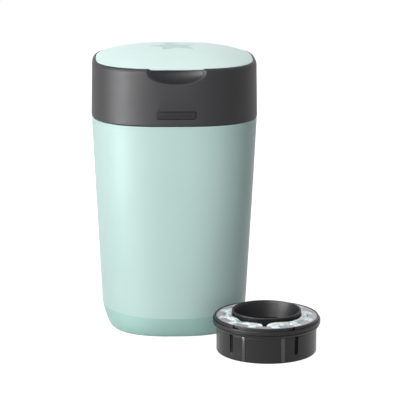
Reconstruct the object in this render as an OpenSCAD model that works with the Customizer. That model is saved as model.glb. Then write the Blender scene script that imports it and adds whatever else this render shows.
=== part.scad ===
// Nappy bin: a tapered tub under a dark collar that holds the twist mechanism, a domed lid
// on a rear hinge, and a round film cassette that stands on the floor beside it.
// Origin: centre of the tub's base on the floor. +Z up, the front faces -Y, +X is to its right.

/* [Tub] */
// Half width of the tub just under the collar
tub_half_w = 133.0; // [118:0.5:145]
// Half depth of the tub just under the collar
tub_half_d = 139.7; // [124:0.5:152]
// Height of the ledge that the collar rests on
ledge_z = 345.7; // [300:0.1:390]
// Half width of the tub at the crease above its tucked-in base
crease_half_w = 117.8; // [100:0.2:124]
// Height of that crease
crease_z = 33; // [20:1:50]
// Half width of the tub's flat base
foot_half_w = 105; // [85:1:112]
// Wall of the tub
tub_wall = 2.5; // [1.8:0.1:4]
// Height of the neck that stands inside the collar
neck_h = 26; // [12:1:34]

/* [Collar] */
// Height of the collar's straight side
collar_side_h = 80; // [70:1:100]
// Inward lean of the collar's side, bottom to top
collar_lean = 1.4; // [0:0.1:3]
// Height of the rounded shoulder above the side
shoulder_h = 9.6; // [8:0.1:13]
// Wall of the collar
collar_wall = 2.6; // [2:0.1:3.2]
// Thickness of the flange that the lid closes on
flange_t = 2.5; // [2:0.1:3.4]
// How far the shoulder's edge stands above the flange
lip_h = 3.1; // [2:0.1:4]
// Radius of the hole in the flange
flange_hole_r = 104; // [102:0.5:106]

/* [Finger scoop and badge] */
// Half width of the finger scoop
scoop_half_w = 45; // [35:1:50]
// Radius of the scoop, down and in from the front edge
scoop_r = 18; // [14:0.5:24]
// Wall behind the scoop
scoop_wall = 2.4; // [1.8:0.1:3]
// Width of the bare badge plate
badge_w = 59; // [40:1:80]
// Height of the badge plate
badge_h = 11; // [8:0.5:16]
// How far the badge stands proud
badge_t = 0.8; // [0.5:0.1:1.5]
// Height of the badge's centre above the collar's lower edge
badge_up = 17.6; // [12:0.2:30]

/* [Lid] */
// Rise of the dome above the lid's edge
dome_h = 17.6; // [12:0.2:26]
// Wall of the lid
lid_wall = 2.4; // [1.8:0.1:3.2]
// Thickness of the liner plate under the dome
liner_t = 2; // [1.5:0.1:3]
// Radius of the star's tips
star_r = 39; // [25:1:50]
// Radius of the star's inner corners
star_inner_r = 21.5; // [13:0.5:26]
// Thickness of the star inlay
star_t = 1.2; // [0.8:0.1:1.6]

/* [Hinge] */
// Radius of the hinge pin
pin_r = 1.6; // [1.2:0.1:2.2]
// Radius of the hinge barrels
barrel_r = 4.5; // [4:0.1:4.6]
// Length of the lid's middle barrel
knuckle_w = 80; // [50:1:90]
// Length of each barrel on the collar
lug_w = 20; // [12:1:24]

/* [Twist mechanism] */
// Inner radius of the twist ring, which holds the cassette's bead
ring_bore_r = 85.3; // [85:0.1:86]
// Outer radius of the twist ring's wall
ring_wall_r = 90; // [89:0.1:91]
// Thickness of the deck
deck_t = 2.5; // [2:0.1:4]
// Number of click pockets round the ring
clicks = 24; // [12:12:36]
// Number of finger grips on the ring
grips = 12; // [8:1:18]

/* [Film gripper and cutter] */
// Number of sprung flaps that close the throat
flaps = 6; // [6]
// Distance from the centre to each flap's hinge line
flap_hinge_r = 71.2; // [66:0.2:71.4]
// Radius of the small hole left between the flap tips
flap_tip_r = 9; // [6:0.5:14]
// Thickness of a flap
flap_t = 2; // [1.5:0.1:2.6]

/* [Cassette] */
// Radius of the cassette's bead, its widest part
bead_r = 84; // [82:0.1:84.5]
// Height of the cassette's wall up to the bead
cassette_wall_h = 44; // [34:1:50]
// Height of the funnel's lip
funnel_h = 65.5; // [60:0.5:72]
// Radius of the funnel's lip
funnel_r = 53.9; // [46:0.1:58]
// Wall of the cassette
cassette_wall = 2; // [1.4:0.1:2.6]
// Place of the cassette's centre to the right of the bin's centre
cassette_x = 138.8; // [138:0.2:170]
// Place of the cassette's centre in front of the bin's centre
cassette_front = 185.3; // [185:0.1:210]

/* [Hidden] */

mint = "#B9D8D0";
pale_mint = "#DCEEEA";
dark_grey = "#4A4A4C";
black_grey = "#333335";
mauve_grey = "#8A8790";
steel = "#B8BCC0";

$fn = 96;
plan_step = 5;         // degrees between the points of a squared-oval outline
gap = 0.3;             // between bodies that move apart
fit = 0.05;            // round a pin in its bore
eps = 0.01;

// ---- outlines and lofted shells ----

// Radius of a squared oval with half axes a and b and exponent n, in direction t
function oval_r(a, b, n, t) =
    1 / pow(pow(abs(cos(t)) / a, n) + pow(abs(sin(t)) / b, n), 1 / n);
function oval(a, b, n) = [for (t = [0 : plan_step : 359])
    let (r = oval_r(a, b, n, t)) [r * cos(t), r * sin(t)]];
// A ring is [z, a, b, n]
function ring_points(rings) = [for (g = rings) for (p = oval(g[1], g[2], g[3])) [p.x, p.y, g[0]]];
function side_faces(ring_count, m, closed) = [
    for (i = [0 : ring_count - (closed ? 1 : 2)]) for (j = [0 : m - 1])
        let (k = (i + 1) % ring_count, l = (j + 1) % m)
        each [[i * m + j, k * m + j, k * m + l], [i * m + j, k * m + l, i * m + l]]];

// Solid through rings that go out along its underside, over its edge and back along its top
module lofted(rings) {
    m = 360 / plan_step;
    last = (len(rings) - 1) * m;
    polyhedron(
        points = ring_points(rings),
        faces = concat([[for (j = [0 : m - 1]) j]], side_faces(len(rings), m, false),
            [[for (j = [m - 1 : -1 : 0]) last + j]]));
}

// Ring-shaped solid whose last ring joins its first
module looped(rings) {
    m = 360 / plan_step;
    polyhedron(points = ring_points(rings), faces = side_faces(len(rings), m, true));
}

module oval_plate(a, b, n, z, t) {
    translate([0, 0, z]) linear_extrude(t) polygon(oval(a, b, n));
}

module pipe(r_out, r_in, z, h) {
    translate([0, 0, z]) rotate_extrude() translate([r_in, 0]) square([r_out - r_in, h]);
}

// ---- driving heights ----

depth_more = tub_half_d - tub_half_w;
plan_n = 2.82;
crease_n = 2.2;
foot_n = 2.6;
lid_n = 2.88;

collar_z = ledge_z + gap;
collar_half_w = tub_half_w + gap;
collar_half_d = tub_half_d + gap;
side_top_z = collar_z + collar_side_h;
collar_top_z = side_top_z + shoulder_h;
side_top_half_w = collar_half_w - collar_lean;
shoulder_in = 5;                       // how far the shoulder curves inward
flange_top_z = collar_top_z - lip_h;
flange_z = flange_top_z - flange_t;

deck_drop = 15.5;                      // flange underside to deck top
deck_top_z = flange_z - deck_drop;
deck_z = deck_top_z - deck_t;

// ---- tub ----

function tub_half(z) = crease_half_w
    + (tub_half_w - crease_half_w) * (z - crease_z) / (ledge_z - crease_z);
function tub_deep(a) = a * tub_half_d / tub_half_w;
base_curve = 1.3;
function foot_half(z) = foot_half_w + (crease_half_w - foot_half_w)
    * pow(1 - pow(1 - z / crease_z, base_curve), 1 / base_curve);
function foot_plan_n(z) = foot_n + (crease_n - foot_n) * z / crease_z;
function wall_plan_n(z) = min(plan_n,
    crease_n + (plan_n - crease_n) * (z - crease_z) / (0.6 * (ledge_z - crease_z)));

neck_half_w = collar_half_w - collar_lean * neck_h / collar_side_h - collar_wall - 0.4;
neck_half_d = neck_half_w + depth_more;
neck_top_z = ledge_z + neck_h;
tub_floor_z = 3;

module tub() {
    wall_h = ledge_z - crease_z;
    outer_base = [for (s = [0, 0.04, 0.12, 0.27, 0.48, 0.73]) let (z = s * crease_z)
        [z, foot_half(z), tub_deep(foot_half(z)), foot_plan_n(z)]];
    outer_wall = [for (s = [0, 0.18, 0.37, 0.6, 1]) let (z = crease_z + s * wall_h)
        [z, tub_half(z), tub_deep(tub_half(z)), wall_plan_n(z)]];
    neck = [
        [ledge_z, neck_half_w, neck_half_d, plan_n],
        [neck_top_z, neck_half_w, neck_half_d, plan_n],
        [neck_top_z, neck_half_w - tub_wall, neck_half_d - tub_wall, plan_n],
        [ledge_z - 2 * tub_wall, neck_half_w - tub_wall, neck_half_d - tub_wall, plan_n]];
    inner_wall = [for (s = [0.97, 0.6, 0.37, 0.18, 0]) let (z = crease_z + s * wall_h)
        [z, tub_half(z) - tub_wall, tub_deep(tub_half(z)) - tub_wall, wall_plan_n(z)]];
    inner_base = [for (s = [0.43, 0.13, 0]) let (z = tub_floor_z + s * (crease_z - tub_floor_z))
        [z, foot_half(z) - tub_wall, tub_deep(foot_half(z)) - tub_wall, foot_plan_n(z)]];
    color(mint) lofted(concat(outer_base, outer_wall, neck, inner_wall, inner_base));
}

// ---- collar ----

lid_half_w = collar_half_w - 7.4;
lid_half_d = collar_half_d - 7.1;
lid_gap = 0.5;
hinge_y = lid_half_d + 1.1;
hinge_z = flange_top_z - 1;
lug_inner_x = knuckle_w / 2 + gap;
lug_outer_x = lug_inner_x + lug_w;
hinge_clear_r = 9;

scoop_y = -(side_top_half_w + depth_more + 2.4);
scoop_z = flange_z;

// Ellipsoid of revolution along X
module scoop_shape(grow) {
    long = scoop_half_w + grow;
    round = scoop_r + grow;
    translate([0, scoop_y, scoop_z]) rotate([0, 90, 0]) rotate_extrude()
        polygon(concat([[0, -long]], [for (t = [-82.5 : 7.5 : 82.5]) [round * cos(t), long * sin(t)]],
            [[0, long]]));
}

boss_r = 6;
boss_x = 88;
boss_y = 97;
screw_r = 1.5;
screw_into = 11;

module at_bosses() {
    for (sx = [-1, 1]) for (sy = [-1, 1]) translate([sx * boss_x, sy * boss_y, 0]) children();
}

module along_x(x0, x1, r) {
    translate([x0, hinge_y, hinge_z]) rotate([0, 90, 0]) cylinder(r = r, h = x1 - x0);
}

function collar_ring(z, inset, n) = [z, side_top_half_w - inset, side_top_half_w + depth_more - inset, n];

shoulder_rings = [
    collar_ring(side_top_z, 0, plan_n),
    collar_ring(side_top_z + 0.45 * shoulder_h, 0.8, plan_n),
    collar_ring(side_top_z + 0.78 * shoulder_h, 2.4, plan_n),
    collar_ring(side_top_z + 0.95 * shoulder_h, 4.0, lid_n),
    collar_ring(collar_top_z, shoulder_in, lid_n)];

low_edge_r = 1.8;                      // rounding of the collar's lower edge

// Ring of the collar's leaning side at a height, moved outward
function side_ring(z, out) = let (in = collar_lean * (z - collar_z) / collar_side_h)
    [z, collar_half_w - in + out, collar_half_d - in + out, plan_n];

module collar_shell() {
    inner_low = collar_half_w - collar_wall;
    looped(concat([
        [collar_z, collar_half_w - low_edge_r, collar_half_d - low_edge_r, plan_n],
        [collar_z + 0.3 * low_edge_r, collar_half_w - 0.3 * low_edge_r, collar_half_d - 0.3 * low_edge_r, plan_n],
        side_ring(collar_z + 1.5 * low_edge_r, 0)], shoulder_rings, [
        [collar_top_z - 0.4, lid_half_w + lid_gap, lid_half_d + lid_gap, lid_n],
        [flange_top_z, lid_half_w + lid_gap, lid_half_d + lid_gap, lid_n],
        [flange_top_z, flange_hole_r, flange_hole_r, 2],
        [flange_z, flange_hole_r, flange_hole_r, 2],
        collar_ring(flange_z, 0.5 + collar_wall, plan_n),
        [collar_z, inner_low, inner_low + depth_more, plan_n]]));
}

lug_web_t = 7.5;
lug_web_h = 15;
slot_w = 18;
slot_t = 4.4;
slot_y = scoop_y + scoop_r + scoop_wall + 0.8 + slot_t / 2;

module collar() {
    color(dark_grey) difference() {
        union() {
            difference() {
                collar_shell();
                intersection() {
                    along_x(-lug_outer_x - 1.5, lug_outer_x + 1.5, hinge_clear_r);
                    translate([-100, 0, hinge_z - 6]) cube([200, 200, 50]);
                }
            }
            intersection() {
                scoop_shape(scoop_wall);
                lofted(concat([[collar_z, collar_half_w - 0.5, collar_half_d - 0.5, plan_n]], shoulder_rings));
                translate([-100, -200, 0]) cube([200, 200, flange_top_z]);
            }
            at_bosses() translate([0, 0, deck_top_z]) cylinder(r = boss_r, h = flange_z - deck_top_z + eps);
            for (s = [-1, 1]) {
                x0 = s > 0 ? lug_inner_x : -lug_outer_x;
                along_x(x0, x0 + lug_w, barrel_r);
                translate([x0, hinge_y - barrel_r, hinge_z - lug_web_h]) cube([lug_w, lug_web_t, lug_web_h]);
            }
        }
        scoop_shape(0);
        translate([-slot_w / 2, slot_y - slot_t / 2, flange_z - 1]) cube([slot_w, slot_t, flange_t + 2]);
        along_x(-lug_outer_x - 1, lug_outer_x + 1, pin_r + fit);
        at_bosses() translate([0, 0, deck_top_z - 1]) cylinder(r = screw_r + fit, h = screw_into + 1);
    }
}

// ---- badge: a bare plate that follows the collar's front ----

module badge() {
    bottom_z = collar_z + badge_up - badge_h / 2;
    glue_t = 0.02;
    low = bottom_z - 2;
    high = bottom_z + badge_h + 2;
    color(black_grey) intersection() {
        looped([side_ring(low, badge_t), side_ring(high, badge_t), side_ring(high, glue_t), side_ring(low, glue_t)]);
        translate([-badge_w / 2, -collar_half_d - 5, bottom_z]) cube([badge_w, 20, badge_h]);
    }
}

// ---- chassis: the fixed deck and the bearing wall of the twist ring ----

bearing_r = ring_wall_r + gap;
bearing_t = 2.7;
ring_drop = 25;                        // deck to the twist ring's lower edge
wall_drop = 72;                        // deck to the bearing wall's lower edge
ring_low_z = deck_z - ring_drop;
chassis_low_z = deck_z - wall_drop;
rail_up = 12;
rail_z = chassis_low_z + rail_up;
rail_h = 2.4;
rail_out = 3;
throat_r = 80;
click_r = 98;
click_angle = 60;
plunger_r = 2.6;
plunger_collar_r = 4;
plunger_guide_h = 3;
click_boss_r = 6;
click_boss_h = 13;
click_bore_r = 4.3;

module at_click() {
    rotate(click_angle) translate([click_r, 0, 0]) children();
}

module chassis() {
    deck_half_w = side_top_half_w - collar_wall - 0.6;
    color(dark_grey) difference() {
        union() {
            oval_plate(deck_half_w, deck_half_w + depth_more, plan_n, deck_z, deck_t);
            pipe(bearing_r + bearing_t, bearing_r, chassis_low_z, deck_top_z - chassis_low_z);
            pipe(bearing_r + 1, throat_r, ring_low_z - gap - 2.4, 2.4);
            pipe(bearing_r + bearing_t + rail_out, bearing_r + 1, rail_z, rail_h);
            at_click() translate([0, 0, deck_z - click_boss_h]) cylinder(r = click_boss_r, h = click_boss_h + eps);
        }
        translate([0, 0, deck_z - 1]) cylinder(r = bearing_r, h = deck_t + 2);
        at_bosses() translate([0, 0, deck_z - 1]) cylinder(r = screw_r + 0.3, h = deck_t + 2);
        at_click() translate([0, 0, deck_z - click_boss_h - 1]) cylinder(r = plunger_r + fit, h = 40);
        at_click() translate([0, 0, deck_z - click_boss_h - 1])
            cylinder(r = click_bore_r, h = click_boss_h + deck_t - plunger_guide_h + 1);
        scoop_shape(scoop_wall + gap);
    }
}

module chassis_screws() {
    head_h = 2;
    color(steel) at_bosses() {
        translate([0, 0, deck_z - head_h]) cylinder(r = 3.2, h = head_h);
        translate([0, 0, deck_z - eps]) cylinder(r = screw_r, h = deck_t + screw_into - 1);
    }
}

// ---- hinge pin ----

module hinge_pin() {
    color(steel) along_x(-lug_outer_x, lug_outer_x, pin_r);
}

// ---- lid ----

lid_edge_z = collar_top_z + 0.2;
lid_low_z = flange_top_z + gap + 0.4;
dome_power = 2.73;
function dome_z(k) = lid_edge_z + dome_h * (1 - pow(k, dome_power));
function dome_ring(k) = [dome_z(k), k * lid_half_w, k * lid_half_d, lid_n];
function under_ring(k) = [dome_z(k) - lid_wall, k * lid_half_w, k * lid_half_d, lid_n];
star_turn = 11;
star_floor_z = lid_edge_z + dome_h - 0.6 - star_t;
liner_z = flange_top_z + 1.1;
liner_in = 8;
post_r = 4;
post_at = 70;

module lid_shell() {
    edge = lid_wall / lid_half_w;
    lofted(concat(
        [for (k = [0.12, 0.4, 0.6, 0.76, 0.88, 0.965 - edge]) under_ring(k)],
        [[lid_low_z, lid_half_w - lid_wall, lid_half_d - lid_wall, lid_n],
         [lid_low_z, lid_half_w - 0.4, lid_half_d - 0.4, lid_n],
         [lid_edge_z - 0.5, lid_half_w, lid_half_d, lid_n],
         [lid_edge_z + 0.5, lid_half_w * 0.992, lid_half_d * 0.992, lid_n]],
        [for (k = [0.965, 0.92, 0.86, 0.78, 0.69, 0.58, 0.46, 0.32, 0.12]) dome_ring(k)]));
}

module star(r_tip, r_in, tip_round) {
    rotate(90 + star_turn) offset(r = tip_round) offset(delta = -tip_round)
        polygon([for (i = [0 : 9]) let (r = i % 2 == 0 ? r_tip + 2 * tip_round : r_in)
            [r * cos(36 * i), r * sin(36 * i)]]);
}

module lid() {
    lug_clear = 0.4;
    color(pale_mint) difference() {
        union() {
            difference() {
                lid_shell();
                for (s = [-1, 1]) {
                    x0 = s > 0 ? lug_inner_x - gap : -lug_outer_x - gap;
                    along_x(x0, x0 + lug_w + 2 * gap, barrel_r + lug_clear);
                }
            }
            along_x(-knuckle_w / 2, knuckle_w / 2, barrel_r);
            for (sx = [-1, 1]) for (sy = [-1, 1]) translate([sx * post_at, sy * post_at, liner_z + liner_t])
                cylinder(r = post_r, h = dome_z(0.7) - liner_z - liner_t - 1.2);
        }
        along_x(-knuckle_w / 2 - 1, knuckle_w / 2 + 1, pin_r + fit);
        translate([0, 0, star_floor_z]) linear_extrude(20) star(star_r + 0.15, star_inner_r + 0.15, 3);
    }
}

module lid_star() {
    color(mint) translate([0, 0, star_floor_z]) linear_extrude(star_t) star(star_r, star_inner_r, 3);
}

module lid_liner() {
    color(pale_mint) oval_plate(lid_half_w - liner_in, lid_half_d - liner_in, lid_n, liner_z, liner_t);
}

module lid_seal() {
    seal_low_z = flange_top_z + gap;
    color(black_grey) pipe(flange_hole_r + 5, flange_hole_r + 1.5, seal_low_z, liner_z - seal_low_z);
}

module lid_catch() {
    hook_w = 14;
    stem_t = 2;
    barb = 1.1;
    hook_low_z = ring_top_z + grip_h + gap;
    color(pale_mint) translate([-hook_w / 2, slot_y - stem_t / 2 + barb / 2, 0]) {
        translate([0, 0, hook_low_z]) cube([hook_w, stem_t, liner_z - hook_low_z]);
        translate([0, 0, hook_low_z]) rotate([90, 0, 90]) linear_extrude(hook_w)
            polygon([[eps, 0], [-barb, 2], [eps, 3.8]]);
    }
}

// ---- twist ring ----

ring_top_z = deck_top_z + 6.5;
ring_flange_z = deck_top_z + 2.5;
ring_flange_r = flange_hole_r - 1;
seat_z = ring_low_z + 9;
seat_r = 79.5;
pocket_depth = 1.5;
grip_r = 4;
grip_h = 4.5;
grip_at_r = ring_flange_r - grip_r - 2;

module twist_ring() {
    color(dark_grey) difference() {
        union() {
            rotate_extrude() polygon([
                [seat_r, ring_low_z], [ring_wall_r, ring_low_z], [ring_wall_r, ring_flange_z],
                [ring_flange_r, ring_flange_z], [ring_flange_r, ring_top_z - 1], [ring_flange_r - 1, ring_top_z],
                [ring_bore_r, ring_top_z], [ring_bore_r, seat_z], [seat_r, seat_z]]);
            for (i = [0 : grips - 1]) rotate(i * 360 / grips) translate([grip_at_r, 0, ring_top_z - eps])
                cylinder(r = grip_r, h = grip_h);
        }
        for (i = [0 : clicks - 1]) rotate(click_angle + i * 360 / clicks) translate([click_r, 0, ring_flange_z - eps])
            cylinder(r = plunger_r + 0.6, h = pocket_depth + eps);
    }
}

// ---- click plunger, its spring and the cap under them ----

guide_z = deck_top_z - plunger_guide_h;
cap_t = 2;
cap_z = deck_z - click_boss_h - cap_t;
cap_r = click_r - bearing_r - bearing_t - gap;
plunger_collar_h = 2;
stem_low_z = guide_z - plunger_collar_h - 3;

module click_plunger() {
    tip_z = ring_flange_z + pocket_depth - gap;
    color(black_grey) at_click() {
        translate([0, 0, guide_z - gap - plunger_collar_h]) cylinder(r = plunger_collar_r, h = plunger_collar_h);
        translate([0, 0, stem_low_z]) cylinder(r = 1.8, h = guide_z - stem_low_z - 1);
        translate([0, 0, guide_z - gap - eps]) cylinder(r = plunger_r, h = tip_z - 1 - guide_z + gap + eps);
        translate([0, 0, tip_z - 1 - eps]) cylinder(r1 = plunger_r, r2 = plunger_r - 1, h = 1 + eps);
    }
}

spring_wire = 0.35;
spring_r = 3.3;
spring_turns = 4;

module click_spring() {
    z0 = cap_z + cap_t + spring_wire + 0.05;
    z1 = guide_z - gap - plunger_collar_h - spring_wire - 0.05;
    steps = 14 * spring_turns;
    sides = 6;
    function wire_ring(i) = let (turn = 360 * spring_turns * i / steps)
        [for (j = [0 : sides - 1]) let (r = spring_r + spring_wire * cos(60 * j))
            [r * cos(turn), r * sin(turn), z0 + (z1 - z0) * i / steps + spring_wire * sin(60 * j)]];
    color(steel) at_click() polyhedron(
        points = [for (i = [0 : steps]) each wire_ring(i)],
        faces = concat(
            [[for (j = [0 : sides - 1]) j]],
            [for (i = [0 : steps - 1]) for (j = [0 : sides - 1]) let (l = (j + 1) % sides)
                each [[i * sides + j, (i + 1) * sides + j, (i + 1) * sides + l],
                    [i * sides + j, (i + 1) * sides + l, i * sides + l]]],
            [[for (j = [sides - 1 : -1 : 0]) steps * sides + j]]));
}

module click_cap() {
    color(dark_grey) at_click() {
        translate([0, 0, cap_z]) cylinder(r = cap_r, h = cap_t);
    }
}

// ---- film gripper ----

gripper_t = 4;
gripper_z = chassis_low_z - gripper_t;

module gripper_ring() {
    hole_gap = 0.5;
    color(black_grey) difference() {
        translate([0, 0, gripper_z]) cylinder(r = bearing_r + bearing_t, h = gripper_t);
        rotate(30) translate([0, 0, gripper_z - 1])
            cylinder(r = (flap_hinge_r + hole_gap) / cos(30), h = gripper_t + 2, $fn = 6);
    }
}

// Its round outer edge is centred on the hinge axis, and its corners stop short of the next flap
module gripper_flap(i) {
    side_gap = 0.4;
    half = 180 / flaps;
    axis_x = flap_hinge_r - flap_t / 2;
    half_w = (flap_hinge_r - 1.5 * flap_t) * tan(half);
    tip_x = side_gap / sin(half);
    corner_x = tip_x + half_w / tan(half);
    color(mauve_grey) rotate((i - 1) * 360 / flaps) difference() {
        union() {
            translate([0, 0, gripper_z]) linear_extrude(flap_t) polygon([
                [tip_x, 0], [corner_x, half_w], [axis_x, half_w], [axis_x, -half_w], [corner_x, -half_w]]);
            translate([axis_x, half_w, gripper_z + flap_t / 2]) rotate([90, 0, 0])
                cylinder(r = flap_t / 2, h = 2 * half_w);
        }
        translate([0, 0, gripper_z - 1]) cylinder(r = flap_tip_r, h = flap_t + 2);
    }
}

module gripper_flap_1() { gripper_flap(1); }
module gripper_flap_2() { gripper_flap(2); }
module gripper_flap_3() { gripper_flap(3); }
module gripper_flap_4() { gripper_flap(4); }
module gripper_flap_5() { gripper_flap(5); }
module gripper_flap_6() { gripper_flap(6); }

// ---- film cutter: a slider that runs round the rail under the chassis ----

cutter_angle = -120;
cutter_span = 14;
cutter_in_r = bearing_r + bearing_t + 0.4;
cutter_t = 7.5;
cutter_over = 5;                       // above the rail
cutter_under = 7;                      // below the gripper
cutter_out_r = cutter_in_r + cutter_t;
cutter_top_z = rail_z + rail_h + cutter_over;
cutter_low_z = gripper_z - cutter_under;
blade_arm_r = flap_hinge_r + 4.5;
blade_arm_t = 5;

module film_cutter() {
    slide_gap = 0.35;
    rail_r = bearing_r + bearing_t + rail_out;
    color(black_grey) rotate(cutter_angle - cutter_span / 2) {
        rotate_extrude(angle = cutter_span) difference() {
            polygon([
                [cutter_in_r, cutter_top_z], [cutter_in_r, gripper_z - 0.8], [blade_arm_r + 6, gripper_z - 0.8],
                [blade_arm_r + 6, gripper_z - 0.8 - blade_arm_t], [cutter_in_r, cutter_low_z],
                [cutter_out_r, cutter_low_z], [cutter_out_r, cutter_top_z]]);
            translate([cutter_in_r - 1, rail_z - slide_gap])
                square([rail_r + slide_gap - cutter_in_r + 1, rail_h + 2 * slide_gap]);
        }
    }
}

module cutter_blade() {
    blade_t = 0.6;
    blade_z = gripper_z - 0.8 - blade_arm_t / 2;
    color(steel) rotate(cutter_angle) translate([0, 0, blade_z - blade_t / 2]) linear_extrude(blade_t)
        polygon([[blade_arm_r - 1, -7], [blade_arm_r + 8, -8], [blade_arm_r + 8, 8], [blade_arm_r + 2, 8]]);
}

// ---- cassette ----

cassette_r = bead_r - 5.9;
skirt_h = 3;                           // how far the bead reaches down over the wall
bead_h = 11.4;
bead_low_z = cassette_wall_h - skirt_h;
bead_top_z = bead_low_z + bead_h;
ring_up_r = bead_r - 2.8;              // raised ring on the bead
rim_top_z = bead_top_z + 4.4;
rim_in_r = bead_r - 5.3;
ledge_r = cassette_r - cassette_wall + 0.3;
core_r = 47;
cassette_floor_t = 2;
retainer_t = 1.2;
retainer_z = rim_top_z - 0.7 - retainer_t;
cassette_turn = -98;                   // the panel between the ribs faces this way
rib_angle = 22.6;
slot_angle = 39.5;
retainer_root_r = rim_in_r - 0.3;
tab_depth = 14;
notch_angles = [34.5, 90, 145.5];

module at_cassette() {
    translate([cassette_x, -cassette_front, 0]) rotate(cassette_turn) children();
}

module mirrored_at(angles) {
    for (s = [-1, 1]) for (a = angles) rotate(s * a) children();
}

module cassette_body() {
    edge = 2.5;
    rib_w = 5.6;
    rib_top_z = bead_low_z;
    slot_low_z = 12;
    slot_w = 6;
    color(black_grey) at_cassette() difference() {
        union() {
            rotate_extrude() polygon([
                [core_r + gap, 0], [cassette_r - edge, 0], [cassette_r - 0.7, 0.9], [cassette_r, edge],
                [cassette_r, cassette_wall_h], [cassette_r - cassette_wall, cassette_wall_h],
                [cassette_r - cassette_wall, cassette_floor_t + 1], [cassette_r - cassette_wall - 1, cassette_floor_t],
                [core_r + gap, cassette_floor_t]]);
            mirrored_at([rib_angle, 180 - rib_angle]) translate([cassette_r, 0, edge]) linear_extrude(rib_top_z - edge)
                polygon([[-1, -rib_w / 2], [0, -rib_w / 2], [1.1, 1 - rib_w / 2], [1.1, rib_w / 2 - 1],
                    [0, rib_w / 2], [-1, rib_w / 2]]);
        }
        mirrored_at([slot_angle, 180 - slot_angle]) translate([cassette_r - 1.2, -slot_w / 2, slot_low_z])
            cube([10, slot_w, bead_low_z - slot_low_z]);
    }
}

module cassette_rim() {
    notch_w = 3.2;
    tongue_w = 9;
    color(black_grey) at_cassette() difference() {
        rotate_extrude() polygon([
            [cassette_r, bead_low_z], [bead_r - 3, bead_low_z], [bead_r - 1.2, bead_low_z + 1.2],
            [bead_r - 0.3, bead_low_z + 3], [bead_r, bead_low_z + 5.5], [bead_r, bead_top_z - 1],
            [bead_r - 1, bead_top_z], [ring_up_r, bead_top_z], [ring_up_r, rim_top_z - 0.8],
            [ring_up_r - 0.8, rim_top_z], [rim_in_r + 0.4, rim_top_z], [rim_in_r, rim_top_z - 0.4],
            [rim_in_r, retainer_z], [ledge_r, retainer_z], [ledge_r, cassette_wall_h], [cassette_r, cassette_wall_h]]);
        mirrored_at(notch_angles) translate([ring_up_r - 1.4, -notch_w / 2, bead_top_z])
            cube([10, notch_w, rim_top_z]);
        for (s = [-1, 1]) for (a = notch_angles) rotate(s * a)
            translate([ring_up_r - 1.4, s > 0 ? -tongue_w : 0, bead_top_z]) cube([10, tongue_w, 0.9]);
    }
}

core_t = 1.6;                          // wall of the funnel and its core
neck_z = 46;                           // where the core widens into the cone
cone_top_z = funnel_h - 3.4;
// Outer radius of the cone at a height
function cone_r(z) = core_r + core_t
    + (funnel_r - 1.6 - core_r - core_t) * (z - neck_z) / (cone_top_z - neck_z);

module cassette_funnel() {
    color(black_grey) at_cassette() rotate_extrude() polygon([
        [core_r - core_t, 0], [core_r, 0], [core_r, cassette_floor_t], [core_r + core_t, cassette_floor_t],
        [core_r + core_t, neck_z], [cone_r(cone_top_z), cone_top_z], [funnel_r - 0.2, funnel_h - 2],
        [funnel_r, funnel_h - 1], [funnel_r - 0.5, funnel_h - 0.2], [funnel_r - 1.2, funnel_h],
        [funnel_r - 2, funnel_h - 0.5], [funnel_r - 3.4, cone_top_z], [core_r, neck_z], [core_r - core_t, neck_z - 6]]);
}

// Its top lies under the retainer's tabs and swells up to the funnel inside them
module film_pack() {
    side_gap = 0.3;
    in_r = core_r + core_t + side_gap;
    out_r = cassette_r - cassette_wall - 1 - side_gap;
    low_z = cassette_floor_t + side_gap;
    flat_z = retainer_z - side_gap;
    swell_r = retainer_root_r - tab_depth - 1;
    crest_z = flat_z + 4;
    crest_r = cone_r(crest_z) + side_gap;
    color("#A9CFCB") at_cassette() rotate_extrude() polygon([
        [in_r, low_z], [out_r, low_z], [out_r, flat_z], [swell_r, flat_z], [swell_r - 4, crest_z - 0.8],
        [crest_r + 1.5, crest_z], [crest_r, crest_z - 1.5], [in_r, neck_z]]);
}

module film_retainer() {
    tabs = 12;
    tab_w = 24;
    corner = 4.5;
    root_r = retainer_root_r;
    color(mauve_grey) at_cassette() translate([0, 0, retainer_z]) linear_extrude(retainer_t) intersection() {
        circle(r = root_r);
        union() {
            difference() {
                circle(r = root_r + 5);
                circle(r = root_r - 2.5);
            }
            for (i = [0 : tabs - 1]) rotate(i * 360 / tabs) translate([root_r - tab_depth, 0]) {
                translate([corner, -tab_w / 2]) square([tab_depth, tab_w]);
                translate([0, corner - tab_w / 2]) square([tab_depth, tab_w - 2 * corner]);
                for (s = [-1, 1]) translate([corner, s * (tab_w / 2 - corner)]) circle(r = corner);
            }
        }
    }
}

tub();
collar();
badge();
chassis();
chassis_screws();
hinge_pin();
lid();
lid_star();
lid_liner();
lid_seal();
lid_catch();
twist_ring();
click_plunger();
click_spring();
click_cap();
gripper_ring();
gripper_flap_1();
gripper_flap_2();
gripper_flap_3();
gripper_flap_4();
gripper_flap_5();
gripper_flap_6();
film_cutter();
cutter_blade();
cassette_body();
cassette_rim();
cassette_funnel();
film_pack();
film_retainer();
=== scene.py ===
"""Nappy bin with its film cassette: finishes, smooth shells, pleated film and the studio."""
import math

import bmesh
import bpy
from mathutils import Matrix, Vector, noise


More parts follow.
